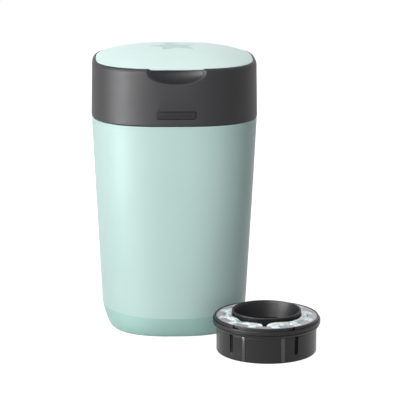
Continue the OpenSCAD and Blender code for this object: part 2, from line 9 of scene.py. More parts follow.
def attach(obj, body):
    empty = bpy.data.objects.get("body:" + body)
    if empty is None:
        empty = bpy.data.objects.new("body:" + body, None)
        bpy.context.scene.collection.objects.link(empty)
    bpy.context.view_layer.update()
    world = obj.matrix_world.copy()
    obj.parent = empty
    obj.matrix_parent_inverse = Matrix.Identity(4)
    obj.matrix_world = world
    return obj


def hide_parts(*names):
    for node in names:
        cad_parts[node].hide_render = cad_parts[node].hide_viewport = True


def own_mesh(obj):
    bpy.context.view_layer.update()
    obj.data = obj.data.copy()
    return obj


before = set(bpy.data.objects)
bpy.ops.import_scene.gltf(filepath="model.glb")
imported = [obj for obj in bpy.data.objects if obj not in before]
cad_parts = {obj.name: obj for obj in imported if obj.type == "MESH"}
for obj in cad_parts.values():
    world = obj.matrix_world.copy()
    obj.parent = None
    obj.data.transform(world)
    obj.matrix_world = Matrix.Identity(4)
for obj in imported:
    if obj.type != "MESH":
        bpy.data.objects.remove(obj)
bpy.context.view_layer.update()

MM = 0.001
scene = bpy.context.scene

# ---- camera: a long lens far in front, a little to the left and looking down ----

CAMERA_PLACE = (-88.4, -2986.8, 859.4)      # mm
CAMERA_TURN = 2.51                          # degrees to the right of +Y
CAMERA_TILT = 12.45                         # degrees below level
CAMERA_ROLL = 0.17                          # degrees, turning the picture
LENS = 168.3                                # mm on a 36 mm sensor

camera_data = bpy.data.cameras.new("camera")
camera_data.lens = LENS
camera_data.sensor_width = 36.0
camera_data.clip_start = 0.1
camera_data.clip_end = 100.0
camera = bpy.data.objects.new("camera", camera_data)
camera.location = [c * MM for c in CAMERA_PLACE]
camera.rotation_euler = (Matrix.Rotation(math.radians(-CAMERA_TURN), 3, "Z")
                         @ Matrix.Rotation(math.radians(90 - CAMERA_TILT), 3, "X")
                         @ Matrix.Rotation(math.radians(CAMERA_ROLL), 3, "Z")).to_euler()
scene.collection.objects.link(camera)
scene.camera = camera

# ---- light: (name, place, aim, size, watts), metres ----
# A sheen lamp is seen only in glossy surfaces, and a fill lamp only lights dull ones.

SKY = 0.2
FLOOR_GLOW = 0.95
LAMPS = (
    ("left", (-2.7, -0.2, 0.9), (0, 0, 0.25), (0.9, 1.8), 11),
    ("key", (-1.6, -1.1, 0.95), (0, 0, 0.5), (0.5, 1.7), 12),
    ("sheen_left", (-1.2, -0.78, 0.42), (0, 0, 0.42), (0.62, 0.84), 40),
    ("front_left", (-1.3, -2.6, 1.3), (0, 0, 0.25), (1.3, 1.7), 57),
    ("top", (0.4, 0.1, 2.8), (0, 0, 0.3), (2.4, 2.4), 19),
    ("back", (0.3, 2.4, 2.6), (0, 0, 0.25), (1.8, 1.4), 10),
    ("fill_back", (-0.2, 2.8, 0.9), (0, 0, 0.25), (1.6, 1.4), 26),
)

# ---- sizes in mm and degrees ----

GAP = 0.3                                    # between parts that only meet

# tub
LEDGE_Z = 345.7                              # the collar rests on this ledge
TUB_HALF = (133.0, 139.7)                    # half width and half depth there
DEPTH_MORE = TUB_HALF[1] - TUB_HALF[0]
CREASE_Z = 33.0
CREASE_HALF_W = 117.8
FOOT_HALF_W = 105.0
FOOT_STRAIGHT = 0.45                         # share of the foot's line that is straight
FOOT_BULGE = 1.6                             # power of the rest's curve
TUB_WALL = 2.5
NECK_H = 26.0                                # stands up inside the collar
NECK_GAP = 0.4
PLAN_N = 2.82                                # squareness from above: 2 is an oval
CREASE_N = 2.2
FOOT_N = 2.6

# collar
SIDE_H = 80.0
SIDE_LEAN = 1.4                              # how far the side leans in over its height
SHOULDER = (5.2, 9.6)                        # width and height of the round shoulder
COLLAR_WALL = 2.6
LOW_EDGE_R = 1.8
COLLAR_Z = LEDGE_Z + GAP
COLLAR_HALF_W = TUB_HALF[0] + GAP
SIDE_TOP_Z = COLLAR_Z + SIDE_H
SIDE_TOP_HALF_W = COLLAR_HALF_W - SIDE_LEAN
COLLAR_TOP_Z = SIDE_TOP_Z + SHOULDER[1]
FLANGE_TOP_Z = COLLAR_TOP_Z - 3.1            # the lid closes down onto this flange
FLANGE_Z = FLANGE_TOP_Z - 2.5
FLANGE_HOLE_R = 104.0
DECK_TOP_Z = FLANGE_Z - 15.5
CATCH_SLOT = (9.0, 2.2)                      # half length and half width
CATCH_SLOT_Y = -113.6
BOSS_PLACE = (88.0, 97.0)                    # the four screw bosses, left and right, front and rear
BOSS_R = 6.0
BOSS_BORE_R = 1.55

# finger scoop: a bowl whose long axis lies just in front of the collar
SCOOP_AHEAD = 2.4
SCOOP_PLACE = (0.0, -(SIDE_TOP_HALF_W + DEPTH_MORE + SCOOP_AHEAD), FLANGE_Z)
SCOOP_HALF_W = 45.0
SCOOP_R = 18.0
SCOOP_WALL = 2.4
SCOOP_LIP_R = 2.2

# badge
BADGE_HALF = (29.5, 5.5)
BADGE_Z = COLLAR_Z + 17.6
BADGE_PROUD = 0.8
BADGE_CORNER_R = 1.8
BADGE_EDGE_R = 0.35
POCKET_DEEP = 0.6
POCKET_ROOM = 0.9                            # round the plate, where the pocket shows as a dark line

# lid and its star
LID_HALF_W = COLLAR_HALF_W - 7.4
LID_HALF_D = COLLAR_HALF_W + DEPTH_MORE - 7.1
LID_N = 2.88
LID_ROOM = 0.5                               # between the lid and the collar's opening
LID_EDGE_Z = COLLAR_TOP_Z + 0.2
LID_EDGE_R = 1.1
LID_LOW_Z = FLANGE_TOP_Z + 0.7
LID_WALL = 2.4
LINER_Z = FLANGE_TOP_Z + 1.1
DOME_H = 17.6
DOME_POWER = 2.73
POST_PLACE = 70.0                            # the liner's four posts
POST_R = 4.0
STAR_TURN = 11.0
STAR_TIP = 45.0                              # before its points are rounded
STAR_INNER = 21.5
STAR_ROUND = 3.0
STAR_SUNK = 0.3
STAR_T = 0.8
STAR_PAD_T = 1.5                             # thickens the lid under the star

# hinge
HINGE_Y = LID_HALF_D + 1.1
HINGE_Z = FLANGE_TOP_Z - 1.0
BARREL_R = 4.5
BARREL_ROOM = 0.4
PIN_BORE_R = 1.65
KNUCKLE_W = 80.0
LUG_W = 20.0
LUG_MIDDLE = KNUCKLE_W / 2 + GAP + LUG_W / 2
LUG_END = LUG_MIDDLE + LUG_W / 2
LUG_WEB_H = 15.0
LUG_BACK = 3.0                               # how far a lug's web goes behind the pin
HOLLOW_R = 9.0                               # the hollow in the collar round the barrels
HOLLOW_LOW = 6.0                             # how far it goes below the pin
HOLLOW_END = 1.5                             # how far it goes past the lugs

# cassette
CASSETTE_PLACE = (138.8, -185.3, 0.0)
CASSETTE_TURN = -98.0
BEAD_R = 84.0
WALL_R = BEAD_R - 5.9
WALL_H = 44.0
CASSETTE_WALL = 2.0
BEAD_LOW_Z = WALL_H - 3.0
BEAD_TOP_Z = BEAD_LOW_Z + 11.4
BEAD_GROOVE = (BEAD_LOW_Z + 4.5, 1.1, 2.8)   # height, width and depth of the line under the bead
BAND_Z = BEAD_LOW_Z - 4.4
BAND_PROUD = 0.7
RING_UP_R = BEAD_R - 2.8
RIM_TOP_Z = BEAD_TOP_Z + 4.4
RIM_IN_R = BEAD_R - 5.3
LEDGE_R = WALL_R - CASSETTE_WALL + GAP
RIB_TURNS = (22.6, 157.4)                    # each is on both sides of the front
RIB_HALF_W = 2.8
RIB_PROUD = 1.1
SLOT_TURNS = (39.5, 140.5)
SLOT_HALF_W = 3.2
SLOT_LOW_Z = 12.0
SLOT_DEEP = 1.3
NOTCH_TURNS = (34.5, 90.0, 145.5)
NOTCH_HALF_W = 1.8
RIM_GROOVE = (9.0, 1.3, 1.6)                 # length, height and depth beside each notch
FUNNEL_R = 53.9
FUNNEL_H = 65.5
FUNNEL_LIP = 3.4                             # height of its lip, and how far the inside slopes in there
FUNNEL_LIP_Z = FUNNEL_H - FUNNEL_LIP
CORE_R = 47.0
CORE_T = 1.6
NECK_Z = 46.0                                # where the core widens into the funnel
RETAINER_T = 1.2
RETAINER_Z = RIM_TOP_Z - 0.7 - RETAINER_T
RETAINER_R = RIM_IN_R - 0.3
TABS = 12
TAB_DEPTH = 14.0
FILM_OUT_R = 74.8
FILM_LOW_Z = 2.3
TAB_IN_R = RETAINER_R - TAB_DEPTH
UNDER_TAB_Z = RETAINER_Z - 0.6               # the film's height under the tabs
FILM_SWELL = 3.8                             # how far it swells between the tabs and the funnel
FILM_DIP = 3.5                               # how far it dips again beside the funnel
FILM_DIP_R = 53.0                            # here the swelling ends
PARTING_HALF_W = 3.0                         # at the tabs
PARTING_MORE = 10.0                          # what that half width gains towards the funnel
PARTING_DEEP = 9.0

ROUND = 144                                  # steps round a smooth shell


# ---- colour and materials ----

def srgb(code):
    """An sRGB hex code as a linear colour."""
    parts = [int(code[i:i + 2], 16) / 255 for i in (1, 3, 5)]
    return [p / 12.92 if p <= 0.04045 else ((p + 0.055) / 1.055) ** 2.4 for p in parts] + [1.0]


def add_node(tree, kind, links=(), **settings):
    """Adds a node, sets its sockets and properties, and links (from socket, input name) pairs."""
    node = tree.nodes.new(kind)
    for key, value in settings.items():
        name = key.replace("_", " ")
        socket = next((s for s in node.inputs if s.name.lower() == name.lower()), None)
        if socket is not None and not hasattr(node, key):
            socket.default_value = value
        else:
            setattr(node, key, value)
    for source, target in links:
        tree.links.new(source, node.inputs[target])
    return node


def new_material(name):
    """A material with nodes, its node tree and its shader."""
    material = bpy.data.materials.new(name)
    material.use_nodes = True
    tree = material.node_tree
    shader = tree.nodes["Principled BSDF"]
    return material, tree, shader


def moulded_plastic(name, colour, roughness, shine=0.35, grain=0.12):
    """Injection-moulded plastic: waxy, faintly clouded, with a spark-eroded grain that dulls its shine."""
    cloud_mm, smear_mm = 90, 18
    grain_mm = 0.8      # the real grain is about 0.1 mm, and is drawn coarser so that it shows
    material, tree, shader = new_material(name)
    place = add_node(tree, "ShaderNodeTexCoord")
    clouds = add_node(tree, "ShaderNodeTexNoise", [(place.outputs["Object"], "Vector")],
                      Scale=1 / (cloud_mm * MM), Detail=3.0, Roughness=0.6)
    level = add_node(tree, "ShaderNodeMapRange", [(clouds.outputs["Fac"], "Value")],
                     From_Min=0.3, From_Max=0.7, To_Min=0.985, To_Max=1.015)
    tint = add_node(tree, "ShaderNodeHueSaturation", [(level.outputs["Result"], "Value")],
                    Color=srgb(colour))
    tree.links.new(tint.outputs["Color"], shader.inputs["Base Color"])
    smears = add_node(tree, "ShaderNodeTexNoise", [(place.outputs["Object"], "Vector")],
                      Scale=1 / (smear_mm * MM), Detail=4.0, Roughness=0.65)
    rough = add_node(tree, "ShaderNodeMapRange", [(smears.outputs["Fac"], "Value")],
                     From_Min=0.3, From_Max=0.7, To_Min=roughness - 0.02, To_Max=roughness + 0.03)
    tree.links.new(rough.outputs["Result"], shader.inputs["Roughness"])
    pits = add_node(tree, "ShaderNodeTexNoise", [(place.outputs["Object"], "Vector")],
                    Scale=1 / (grain_mm * MM), Detail=2.0)
    bump = add_node(tree, "ShaderNodeBump", [(pits.outputs["Fac"], "Height")],
                    Strength=grain, Distance=0.1 * MM)
    tree.links.new(bump.outputs["Normal"], shader.inputs["Normal"])
    shader.inputs["IOR"].default_value = 1.49
    shader.inputs["Specular IOR Level"].default_value = shine
    return material


def drawn_steel(name, colour, roughness):
    """Bright drawn steel wire and pins: fine marks from the die break up the shine."""
    mark_mm = 0.4       # the real marks are about 0.05 mm, and are drawn coarser so that they show
    material, tree, shader = new_material(name)
    place = add_node(tree, "ShaderNodeTexCoord")
    marks = add_node(tree, "ShaderNodeTexNoise", [(place.outputs["Object"], "Vector")],
                     Scale=1 / (mark_mm * MM), Detail=2.0)
    rough = add_node(tree, "ShaderNodeMapRange", [(marks.outputs["Fac"], "Value")],
                     From_Min=0.3, From_Max=0.7, To_Min=roughness - 0.06, To_Max=roughness + 0.08)
    tree.links.new(rough.outputs["Result"], shader.inputs["Roughness"])
    shader.inputs["Base Color"].default_value = srgb(colour)
    shader.inputs["Metallic"].default_value = 1.0
    return material


def soft_rubber(name, colour):
    """Moulded rubber seal: dull, with a dusty bloom that lightens it in patches."""
    bloom_mm = 12
    material, tree, shader = new_material(name)
    place = add_node(tree, "ShaderNodeTexCoord")
    bloom = add_node(tree, "ShaderNodeTexNoise", [(place.outputs["Object"], "Vector")],
                     Scale=1 / (bloom_mm * MM), Detail=4.0)
    level = add_node(tree, "ShaderNodeMapRange", [(bloom.outputs["Fac"], "Value")],
                     From_Min=0.35, From_Max=0.7, To_Min=0.9, To_Max=1.3)
    tint = add_node(tree, "ShaderNodeHueSaturation", [(level.outputs["Result"], "Value")],
                    Color=srgb(colour))
    tree.links.new(tint.outputs["Color"], shader.inputs["Base Color"])
    shader.inputs["Roughness"].default_value = 0.75
    return material


def thin_film(name, pale, deep):
    """Thin polythene film in pleats, glossy, with painted light: a near-white painted highlight along the
    folds and the film's blue-green deepened into painted shade between them.
    """
    crumple_mm, wrinkle_mm = 9, 3
    material, tree, shader = new_material(name)
    place = add_node(tree, "ShaderNodeTexCoord")
    fold = add_node(tree, "ShaderNodeAttribute", attribute_name="fold")
    crumple = add_node(tree, "ShaderNodeTexNoise", [(place.outputs["Object"], "Vector")],
                       Scale=1 / (crumple_mm * MM), Detail=4.0, Roughness=0.6)
    both = add_node(tree, "ShaderNodeMath", [(fold.outputs["Fac"], 0), (crumple.outputs["Fac"], 1)],
                    operation="ADD")
    level = add_node(tree, "ShaderNodeMapRange", [(both.outputs["Value"], "Value")],
                     From_Min=-0.15, From_Max=0.95, To_Min=0.0, To_Max=1.0)
    mix = add_node(tree, "ShaderNodeMix", [(level.outputs["Result"], "Factor")], data_type="RGBA")
    # for colours its inputs are numbers 6 and 7, and its output is number 2
    mix.inputs[6].default_value = srgb(deep)
    mix.inputs[7].default_value = srgb(pale)
    tree.links.new(mix.outputs[2], shader.inputs["Base Color"])
    wrinkle = add_node(tree, "ShaderNodeTexNoise", [(place.outputs["Object"], "Vector")],
                       Scale=1 / (wrinkle_mm * MM), Detail=3.0)
    bump = add_node(tree, "ShaderNodeBump", [(wrinkle.outputs["Fac"], "Height")],
                    Strength=0.4, Distance=0.4 * MM)
    tree.links.new(bump.outputs["Normal"], shader.inputs["Normal"])
    shader.inputs["Roughness"].default_value = 0.2
    shader.inputs["IOR"].default_value = 1.51
    return material


# The tub: pale mint, with a broad soft shine and no sharp reflections.
mint_polypropylene = moulded_plastic("mint_polypropylene", "#C3DFDA", 0.44, shine=0.22)
# The tub's foot: the same moulding in a deeper mint, which is painted shade where it turns under.
foot_painted_shade_polypropylene = moulded_plastic("mint_painted_shade_polypropylene", "#B0D6CF", 0.44, shine=0.22)
# The lid, liner and catch: nearly white, the tub's mint made paler as painted light, with the same soft
# shine.
lid_mint_painted_light_polypropylene = moulded_plastic("lid_mint_painted_light_polypropylene", "#D9F0EB", 0.44, shine=0.25)
# The star inlay: the tub's mint, a little deeper, so it stands out on the lid.
star_polypropylene = moulded_plastic("star_mint_polypropylene", "#B4D6D0", 0.42)
# The collar, chassis and twist ring: charcoal, grained so that a highlight spreads round a corner.
grey_polypropylene = moulded_plastic("dark_grey_polypropylene", "#242426", 0.54, shine=0.38)
# The badge plate: smoother and darker than the collar, so that it reads as a part of its own.
badge_abs = moulded_plastic("badge_satin_abs", "#1B1B1D", 0.34)
# Tray, rim, gripper ring, cutter and plunger: near black, so smooth that they mirror the room softly.
black_polypropylene = moulded_plastic("near_black_polypropylene", "#151517", 0.36, shine=0.34, grain=0.04)
# The funnel: a lighter black with a satin grain, so that its bowl reads against the tray.
funnel_polypropylene = moulded_plastic("satin_black_polypropylene", "#202022", 0.42, shine=0.3)
# The floors of slots, notches and the badge's pocket: painted shade, a darker matt black, so that they read
# as dark lines.
recess_painted_shade_polypropylene = moulded_plastic("matt_black_painted_shade_polypropylene", "#101011", 0.6, shine=0.08)
# The tray's ribs: polished in the mould, and drawn lighter than the tray as painted highlight, so that they
# catch the light.
rib_painted_highlight_polypropylene = moulded_plastic("polished_black_painted_highlight_polypropylene", "#2C2C2E", 0.25, shine=0.7, grain=0.02)
# The film's tabs and the gripper flaps: a warm grey, flexible and a little waxy.
flap_polypropylene = moulded_plastic("mauve_grey_polypropylene", "#B0ADB3", 0.4)
# The lid's seal: dull and dark grey, with a dusty bloom.
seal_rubber = soft_rubber("seal_rubber", "#37373A")
# Screws, pin, spring and blade: bright, but not mirrors.
bright_steel = drawn_steel("bright_steel_wire", "#B8BCC0", 0.28)
# The film refill: a near-white painted highlight along its folds, painted shade in blue-green between them,
# and glossy.
film_polythene = thin_film("pleated_film_painted_light", "#F2F8F9", "#A8C6CA")

CAD_FINISH = {
    "chassis": grey_polypropylene, "twist_ring": grey_polypropylene, "click_cap": grey_polypropylene,
    "gripper_ring": black_polypropylene, "film_cutter": black_polypropylene,
    "click_plunger": black_polypropylene, "lid_liner": lid_mint_painted_light_polypropylene,
    "lid_catch": lid_mint_painted_light_polypropylene, "lid_seal": seal_rubber, "chassis_screws": bright_steel,
    "hinge_pin": bright_steel, "cutter_blade": bright_steel,
}
for number in range(1, 7):
    CAD_FINISH[f"gripper_flap_{number}"] = flap_polypropylene
for node_name, material in CAD_FINISH.items():
    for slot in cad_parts[node_name].material_slots:
        slot.material = material


# ---- mesh helpers; shapes are made in mm and scaled to metres at the end ----

def squared_oval_r(a, b, n, t):
    """Radius of a squared oval of half width a and half depth b, in the direction t."""
    return ((abs(math.cos(t)) / a) ** n + (abs(math.sin(t)) / b) ** n) ** (-1 / n)


def squared_oval_y(x, a, b, n):
    """How far from the middle a squared oval's front is, at x."""
    return b * (1 - abs(x / a) ** n) ** (1 / n)


def arc(start, stop, steps):
    """Angles from start to stop, given in degrees, in equal steps."""
    return [math.radians(start + (stop - start) * i / steps) for i in range(steps + 1)]


def direction(v):
    """The angle of a vertex round Z."""
    return math.atan2(v.co.y, v.co.x)


def settle(verts, ring):
    """Moves verts to a squared oval at their own direction. ring is (z, half width, half depth, n)."""
    z, a, b, n = ring
    for v in verts:
        t = direction(v)
        r = squared_oval_r(a, b, n, t)
        v.co = (r * math.cos(t), r * math.sin(t), z)


def next_ring(bm, edges):
    """Extrudes a ring of edges in place, and gives the new ring's verts and edges."""
    made = bmesh.ops.extrude_edge_only(bm, edges=edges)["geom"]
    verts = {g for g in made if isinstance(g, bmesh.types.BMVert)}
    return verts, [g for g in made if isinstance(g, bmesh.types.BMEdge) and set(g.verts) <= verts]


def loft(rings, looped=False):
    """A shell through rings, each one the last one's edges extruded and settled."""
    bm = bmesh.new()
    verts = bmesh.ops.create_circle(bm, cap_ends=not looped, radius=1.0, segments=ROUND)["verts"]
    settle(verts, rings[0])
    first = edges = bm.edges[:]
    for ring in rings[1:]:
        verts, edges = next_ring(bm, edges)
        settle(verts, ring)
    if looped:
        bmesh.ops.bridge_loops(bm, edges=first + edges)
    else:
        bmesh.ops.contextual_create(bm, geom=edges)
    bmesh.ops.recalc_face_normals(bm, faces=bm.faces)
    return bm


def spun(profile, steps=ROUND):
    """A solid of revolution about Z from a closed outline of (radius, z) points."""
    bm = bmesh.new()
    verts = [bm.verts.new((r, 0, z)) for r, z in profile]
    edges = [bm.edges.new((a, b)) for a, b in zip(verts, verts[1:] + verts[:1])]
    bmesh.ops.spin(bm, geom=verts + edges, cent=(0, 0, 0), axis=(0, 0, 1), dvec=(0, 0, 0),
                   angle=2 * math.pi, steps=steps, use_merge=True, use_duplicate=False)
    bmesh.ops.remove_doubles(bm, verts=bm.verts, dist=1e-4)
    bmesh.ops.recalc_face_normals(bm, faces=bm.faces)
    return bm


def rounded(*corners):
    """A closed outline through (r, z) or (r, z, radius) corners, each turned by a curve of its radius."""
    steps = 6
    out = []
    for i, corner in enumerate(corners):
        here = Vector(corner[:2])
        radius = corner[2] if len(corner) > 2 else 0
        if not radius:
            out.append(tuple(here))
            continue
        back = Vector(corners[i - 1][:2]) - here
        ahead = Vector(corners[(i + 1) % len(corners)][:2]) - here
        reach = radius / math.tan(back.angle(ahead) / 2)
        start = here + back.normalized() * reach
        end = here + ahead.normalized() * reach
        for f in [s / steps for s in range(steps + 1)]:
            out.append(tuple(start * (1 - f) ** 2 + here * 2 * f * (1 - f) + end * f ** 2))
    return out


def rod(radius, length, place=(0, 0, 0), steps=64):
    """A round bar with its lower end at place."""
    bm = bmesh.new()
    bmesh.ops.create_cone(bm, cap_ends=True, segments=steps, radius1=radius, radius2=radius, depth=length,
                          matrix=Matrix.Translation(Vector(place) + Vector((0, 0, length / 2))))
    return bm


def four_corners(x, y):
    """The four places that are x to either side of the middle, and y before or behind it."""
    return [(side * x, end * y) for side in (-1, 1) for end in (-1, 1)]


def hinge_bar(half_w, radius, middle_x=0.0):
    """A round bar along the hinge's axis."""
    bm = rod(radius, 2 * half_w, steps=48)
    bmesh.ops.transform(bm, verts=bm.verts, matrix=Matrix.Translation((middle_x - half_w, HINGE_Y, HINGE_Z))
                        @ Matrix.Rotation(math.pi / 2, 4, "Y"))
    return bm


def block(low, high, edge=0.0):
    """A block between two corners, its edges rounded by edge."""
    bm = bmesh.new()
    size = Vector(high) - Vector(low)
    middle = (Vector(high) + Vector(low)) / 2
    bmesh.ops.create_cube(bm, size=1.0, matrix=Matrix.Translation(middle) @ Matrix.Diagonal((*size, 1)))
    if edge > 0:
        bmesh.ops.bevel(bm, geom=bm.edges[:], offset=edge, affect="EDGES", segments=3, profile=0.5,
                        material=-1)
    return bm


def slice_at(bm, place, normal, **cleared):
    """Cuts a shape's faces along a plane, and clears one side of it where asked."""
    bmesh.ops.bisect_plane(bm, geom=bm.verts[:] + bm.edges[:] + bm.faces[:],
                           plane_co=place, plane_no=normal, **cleared)
    if cleared:
        bmesh.ops.holes_fill(bm, edges=[e for e in bm.edges if e.is_boundary])


def piece(name, bm, material, scale=MM):
    """Makes a shape an object of the scene."""
    mesh = bpy.data.meshes.new(name)
    bmesh.ops.scale(bm, vec=(scale, scale, scale), verts=bm.verts)
    bm.to_mesh(mesh)
    bm.free()
    made = bpy.data.objects.new(name, mesh)
    scene.collection.objects.link(made)
    if material:
        mesh.materials.append(material)
    return made


def like_node(node, name, material):
    """A merged copy of a CAD node's own mesh, to shade smooth or round."""
    bm = bmesh.new()
    bm.from_mesh(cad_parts[node].data)
    bmesh.ops.remove_doubles(bm, verts=bm.verts, dist=1e-6)
    return piece(name, bm, material, scale=1.0)


def baked(made):
    """Applies an object's modifiers to its mesh."""
    graph = bpy.context.evaluated_depsgraph_get()
    mesh = bpy.data.meshes.new_from_object(made.evaluated_get(graph))
    made.modifiers.clear()
    made.data = mesh


def carve(made, tool_bm, operation="DIFFERENCE", finish=None):
    """Cuts a tool shape out of a piece, or joins it on; finish is the material of the new faces."""
    tool = piece("tool", tool_bm, finish)
    modifier = made.modifiers.new("carve", "BOOLEAN")
    modifier.operation = operation
    modifier.solver = "EXACT"
    modifier.object = tool
    if finish:
        modifier.material_mode = "TRANSFER"
    baked(made)
    bpy.data.objects.remove(tool)


def smooth(made, sharp_degrees=32, edge=0.0, edge_degrees=40):
    """Shades a piece smooth between its sharp edges, and rounds those where edge is given."""
    mesh = made.data
    bm = bmesh.new()
    bm.from_mesh(mesh)
    bmesh.ops.remove_doubles(bm, verts=bm.verts, dist=2e-6)
    bmesh.ops.dissolve_degenerate(bm, edges=bm.edges, dist=1e-6)
    bm.to_mesh(mesh)
    bm.free()
    if edge > 0:
        modifier = made.modifiers.new("edge", "BEVEL")
        modifier.width = edge * MM
        modifier.segments = 3
        modifier.limit_method = "ANGLE"
        modifier.angle_limit = math.radians(edge_degrees)
        modifier.use_clamp_overlap = True
        modifier.harden_normals = False
        baked(made)
    mesh = made.data
    for polygon in mesh.polygons:
        polygon.use_smooth = True
    mesh.set_sharp_from_angle(angle=math.radians(sharp_degrees))


def stands_for(made, body, slot, *nodes):
    """A piece rides on a body and replaces CAD nodes; its slot is not used."""
    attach(made, body)
    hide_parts(*nodes)


# ---- tub ----

FOOT_RINGS = (0.15, 0.8, 2, 3.5, 5.5, 8, 11, 14.5, 18.5, 22.5, 26.5, 29.5, 31.5, 32.6)
WALL_RINGS = (CREASE_Z, CREASE_Z + 0.4, CREASE_Z + 3, 45, 65, 90, 120, 150, 185, 222, 260, 300)
INSIDE_RINGS = (LEDGE_Z - 10, 300, 222, 150, 90, CREASE_Z)
INSIDE_FOOT_RINGS = (24, 16, 10, 6, 4, 3)
LEDGE_EDGE_R = 0.8


def tub_half(z):
    """Half width of the tapered wall above the crease."""
    return CREASE_HALF_W + (TUB_HALF[0] - CREASE_HALF_W) * (z - CREASE_Z) / (LEDGE_Z - CREASE_Z)


def foot_half(z):
    """Half width of the tucked-in foot: straight under the crease, rounder towards the floor."""
    up = z / CREASE_Z
    bulge = (1 - (1 - up) ** FOOT_BULGE) ** (1 / FOOT_BULGE)
    share = FOOT_STRAIGHT * up + (1 - FOOT_STRAIGHT) * bulge
    return FOOT_HALF_W + (CREASE_HALF_W - FOOT_HALF_W) * share


def deep(half_w):
    """Half depth of the tub where its half width is half_w."""
    return half_w * TUB_HALF[1] / TUB_HALF[0]


def wall_n(z):
    """Squareness of the wall, which grows over the lower three fifths of its height."""
    up = (z - CREASE_Z) / (0.6 * (LEDGE_Z - CREASE_Z))
    return min(PLAN_N, CREASE_N + (PLAN_N - CREASE_N) * up)


def foot_n(z):
    """Squareness of the foot, which is least at the crease."""
    return FOOT_N + (CREASE_N - FOOT_N) * z / CREASE_Z


def tub_ring(z, inset=0.0):
    """The tub's outside at z, or the inside of its wall."""
    half = foot_half(z) if z < CREASE_Z else tub_half(z)
    n = foot_n(z) if z < CREASE_Z else wall_n(z)
    return (z, half - inset, deep(half) - inset, n)


def tub_bm():
    """The tub from the middle of its base: outside, ledge, neck and inside."""
    neck_half_w = COLLAR_HALF_W - SIDE_LEAN * NECK_H / SIDE_H - COLLAR_WALL - NECK_GAP
    neck_top = LEDGE_Z + NECK_H
    rings = [(0, FOOT_HALF_W - 2, deep(FOOT_HALF_W - 2), FOOT_N)]
    rings += [tub_ring(z) for z in FOOT_RINGS + WALL_RINGS + (LEDGE_Z - 1.2,)]
    for turn in arc(0, 90, 4):
        half = tub_half(LEDGE_Z) - LEDGE_EDGE_R * (1 - math.cos(turn))
        rings.append((LEDGE_Z - LEDGE_EDGE_R * (1 - math.sin(turn)), half, deep(half), PLAN_N))
    for z, inset in ((LEDGE_Z, 0), (LEDGE_Z + 0.6, 0), (neck_top - 0.8, 0), (neck_top, 0.8),
                     (neck_top, TUB_WALL - 0.6), (neck_top - 0.6, TUB_WALL), (LEDGE_Z - 5, TUB_WALL)):
        rings.append((z, neck_half_w - inset, neck_half_w + DEPTH_MORE - inset, PLAN_N))
    rings += [tub_ring(z, TUB_WALL) for z in INSIDE_RINGS + INSIDE_FOOT_RINGS]
    return loft(rings)


tub = piece("tub_shell", tub_bm(), mint_polypropylene)
smooth(tub)
# the foot, below the crease, takes the deeper mint of painted shade
tub.data.materials.append(foot_painted_shade_polypropylene)
for polygon in tub.data.polygons:
    if polygon.center.z < CREASE_Z * MM:
        polygon.material_index = 1
stands_for(tub, "tub", "mint_plastic", "tub")


# ---- collar ----

def lean(z):
    """Inset of the collar's leaning side at z: nothing at its top, and negative below."""
    return -SIDE_LEAN * (SIDE_TOP_Z - z) / SIDE_H


def collar_ring(z, inset, n=PLAN_N):
    """A ring at z, inset from the top of the collar's side."""
    return (z, SIDE_TOP_HALF_W - inset, SIDE_TOP_HALF_W + DEPTH_MORE - inset, n)


def collar_skin(x, z):
    """How far from the middle the collar's front is, at x and z, on its side or shoulder."""
    rise = min(1, max(0, (z - SIDE_TOP_Z) / SHOULDER[1]))
    half_w = SIDE_TOP_HALF_W - lean(min(z, SIDE_TOP_Z)) - SHOULDER[0] * (1 - math.sqrt(1 - rise ** 2))
    return squared_oval_y(x, half_w, half_w + DEPTH_MORE, PLAN_N)


def collar_outside():
    """Rings up the collar's outside: the round lower edge, the side and the shoulder."""
    low = [collar_ring(COLLAR_Z + 1.4 * LOW_EDGE_R * (1 - math.cos(t)),
                       lean(COLLAR_Z) + LOW_EDGE_R * (1 - math.sin(t))) for t in arc(0, 90, 6)]
    side = [collar_ring(z, lean(z)) for z in (COLLAR_Z + 5, 370, 395, 415, SIDE_TOP_Z - 1)]
    shoulder = [collar_ring(SIDE_TOP_Z + SHOULDER[1] * math.sin(t), SHOULDER[0] * (1 - math.cos(t)),
                            PLAN_N + (LID_N - PLAN_N) * t / (math.pi / 2)) for t in arc(0, 88, 10)]
    return low + side + shoulder


def collar_bm():
    """The collar's shell: outside, the lid's opening, the flange round the throat and the inside."""
    lip_w = LID_HALF_W + LID_ROOM
    lip_d = LID_HALF_D + LID_ROOM
    inner_low = COLLAR_HALF_W - COLLAR_WALL
    opening = [(z, lip_w + out, lip_d + out, LID_N) for z, out in (
        (COLLAR_TOP_Z - 0.1, 0.2), (COLLAR_TOP_Z - 0.5, 0), (FLANGE_TOP_Z + 0.4, 0), (FLANGE_TOP_Z, -0.4))]
    throat = [(z, FLANGE_HOLE_R + out, FLANGE_HOLE_R + out, 2) for z, out in (
        (FLANGE_TOP_Z, 1), (FLANGE_TOP_Z - 0.3, 0.2), (FLANGE_TOP_Z - 0.8, 0), (FLANGE_Z + 0.5, 0),
        (FLANGE_Z, 0.5))]
    inside = [collar_ring(FLANGE_Z, COLLAR_WALL + 1.5), collar_ring(FLANGE_Z - 1, COLLAR_WALL + 0.4),
              (COLLAR_Z + 0.5, inner_low, inner_low + DEPTH_MORE, PLAN_N),
              (COLLAR_Z, inner_low + 0.5, inner_low + DEPTH_MORE + 0.5, PLAN_N)]
    return loft(collar_outside() + opening + throat + inside, looped=True)


def scoop(grow):
    """The finger scoop's bowl, grown on all sides."""
    bm = bmesh.new()
    bmesh.ops.create_uvsphere(bm, u_segments=96, v_segments=64, radius=1.0)
    bmesh.ops.transform(bm, verts=bm.verts, matrix=Matrix.Translation(SCOOP_PLACE) @ Matrix.Diagonal(
        (SCOOP_HALF_W + grow, SCOOP_R + grow, SCOOP_R + grow, 1)) @ Matrix.Rotation(math.pi / 2, 4, "Y"))
    return bm


